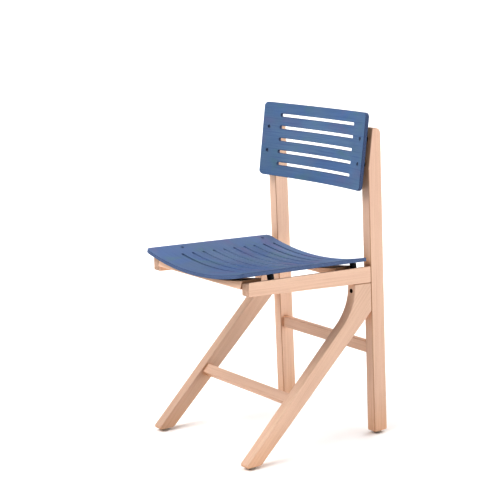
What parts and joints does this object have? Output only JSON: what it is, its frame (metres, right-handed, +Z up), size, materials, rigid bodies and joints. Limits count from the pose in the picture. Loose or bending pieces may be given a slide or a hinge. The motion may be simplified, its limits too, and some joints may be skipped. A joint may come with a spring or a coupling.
{
  "type": "side chair",
  "caption": "Armless side chair with a bent slotted plywood seat and backrest on a beech frame of upright rear posts, seat rails and diagonal front legs.",
  "frame": {"origin": "centre of the bounding box's base, on the floor midway between the side frames", "axes": "+Z up, front of the chair towards -Y, the sitter's left towards +X"},
  "size_m": [0.405, 0.4773, 0.8421],
  "materials": {
    "beech": "clear satin lacquer on pale pinkish steamed beech, darker on end grain",
    "blue_plywood": "blue-stained bent plywood, satin lacquer",
    "black_rubber": "matte black",
    "dark_steel": "blackened steel",
    "glide_plastic": "dark moulded plastic"
  },
  "bodies": {
    "root": {"back_shell": "blue_plywood", "front_cross_rail": "beech", "front_stretcher": "beech", "left_front_cross_dowel_1": "beech", "left_front_cross_dowel_2": "beech", "left_front_glide": "glide_plastic", "left_front_glide_nail": "dark_steel", "left_front_leg": "beech", "left_front_seat_screw": "dark_steel", "left_front_seat_spacer": "black_rubber", "left_leg_bolt": "dark_steel", "left_leg_insert": "dark_steel", "left_lower_back_screw": "dark_steel", "left_lower_back_spacer": "black_rubber", "left_rail_dowel_1": "beech", "left_rail_dowel_2": "beech", "left_rear_cross_dowel_1": "beech", "left_rear_cross_dowel_2": "beech", "left_rear_glide": "glide_plastic", "left_rear_glide_nail": "dark_steel", "left_rear_post": "beech", "left_rear_seat_screw": "dark_steel", "left_rear_seat_spacer": "black_rubber", "left_side_rail": "beech", "left_upper_back_screw": "dark_steel", "left_upper_back_spacer": "black_rubber", "rear_cross_rail": "beech", "rear_stretcher": "beech", "right_front_cross_dowel_1": "beech", "right_front_cross_dowel_2": "beech", "right_front_glide": "glide_plastic", "right_front_glide_nail": "dark_steel", "right_front_leg": "beech", "right_front_seat_screw": "dark_steel", "right_front_seat_spacer": "black_rubber", "right_leg_bolt": "dark_steel", "right_leg_insert": "dark_steel", "right_lower_back_screw": "dark_steel", "right_lower_back_spacer": "black_rubber", "right_rail_dowel_1": "beech", "right_rail_dowel_2": "beech", "right_rear_cross_dowel_1": "beech", "right_rear_cross_dowel_2": "beech", "right_rear_glide": "glide_plastic", "right_rear_glide_nail": "dark_steel", "right_rear_post": "beech", "right_rear_seat_screw": "dark_steel", "right_rear_seat_spacer": "black_rubber", "right_side_rail": "beech", "right_upper_back_screw": "dark_steel", "right_upper_back_spacer": "black_rubber", "seat_shell": "blue_plywood"}
  },
  "joints": []
}
